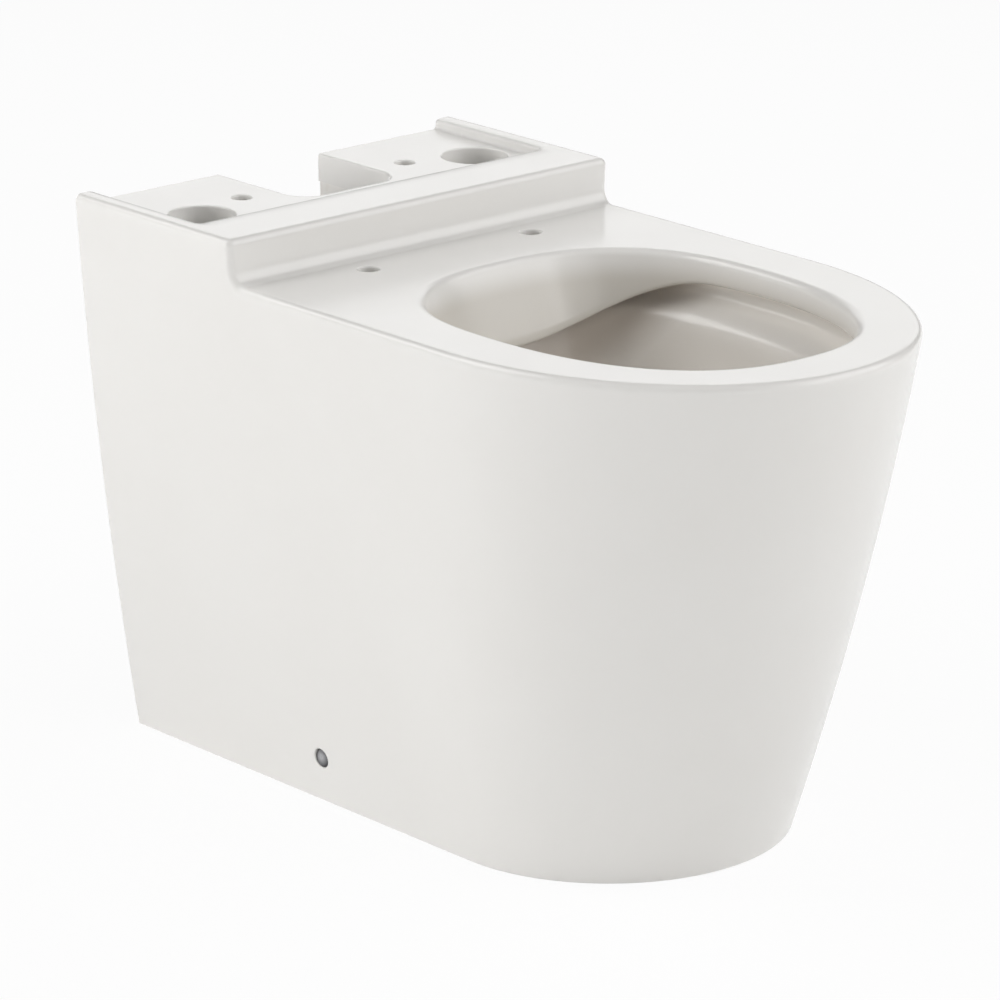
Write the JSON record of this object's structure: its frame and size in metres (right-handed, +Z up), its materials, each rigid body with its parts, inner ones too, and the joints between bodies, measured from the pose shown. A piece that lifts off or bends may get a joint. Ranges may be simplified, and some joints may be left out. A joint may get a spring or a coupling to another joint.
{
  "type": "back to wall toilet pan",
  "caption": "Rimless back to wall toilet pan in off-white china: full skirt, cistern shelf with notch, bowl, water trap, outlet connector and side floor fixings.",
  "frame": {"origin": "on the floor, at the middle of the pan's length and width", "axes": "+Z up, +Y towards the wall, -Y towards the front of the pan, +X to the right seen from the front"},
  "size_m": [0.375, 0.6399, 0.434],
  "materials": {
    "china": "satin off-white glaze",
    "rubber": "matt black",
    "pipe_plastic": "white, semi-gloss",
    "chrome_cap": "bright chrome",
    "nylon": "natural nylon",
    "zinc_steel": "zinc plated"
  },
  "bodies": {
    "pan": {"skirt_shell": "china", "rim_deck": "china", "cistern_shelf": "china", "shelf_web_left": "china", "shelf_web_right": "china", "flush_apron": "china", "bowl_basin": "china", "flush_chamber": "china", "flush_inlet": "china", "trap_dip_bend": "china", "trap_rise_bend": "china", "trap_weir_bend": "china", "outlet_spigot": "china", "flush_inlet_seal": "rubber", "side_bushes": "nylon", "side_screws": "zinc_steel", "captive_nuts": "zinc_steel", "floor_bracket_left": "zinc_steel", "floor_bracket_right": "zinc_steel"},
    "left_cap": {"cap_left": "chrome_cap"},
    "right_cap": {"cap_right": "chrome_cap"},
    "connector": {"outlet_connector": "pipe_plastic", "outlet_seal": "rubber"}
  },
  "joints": [
    {"name": "cap_left_pull", "type": "slide", "parent": "pan", "child": "left_cap", "axis": [-1, 0, 0], "range_m": [0, 0.03]},
    {"name": "cap_right_pull", "type": "slide", "parent": "pan", "child": "right_cap", "axis": [1, 0, 0], "range_m": [0, 0.03]},
    {"name": "connector_slide", "type": "slide", "parent": "pan", "child": "connector", "axis": [0, 1, 0], "range_m": [0, 0.04]}
  ]
}
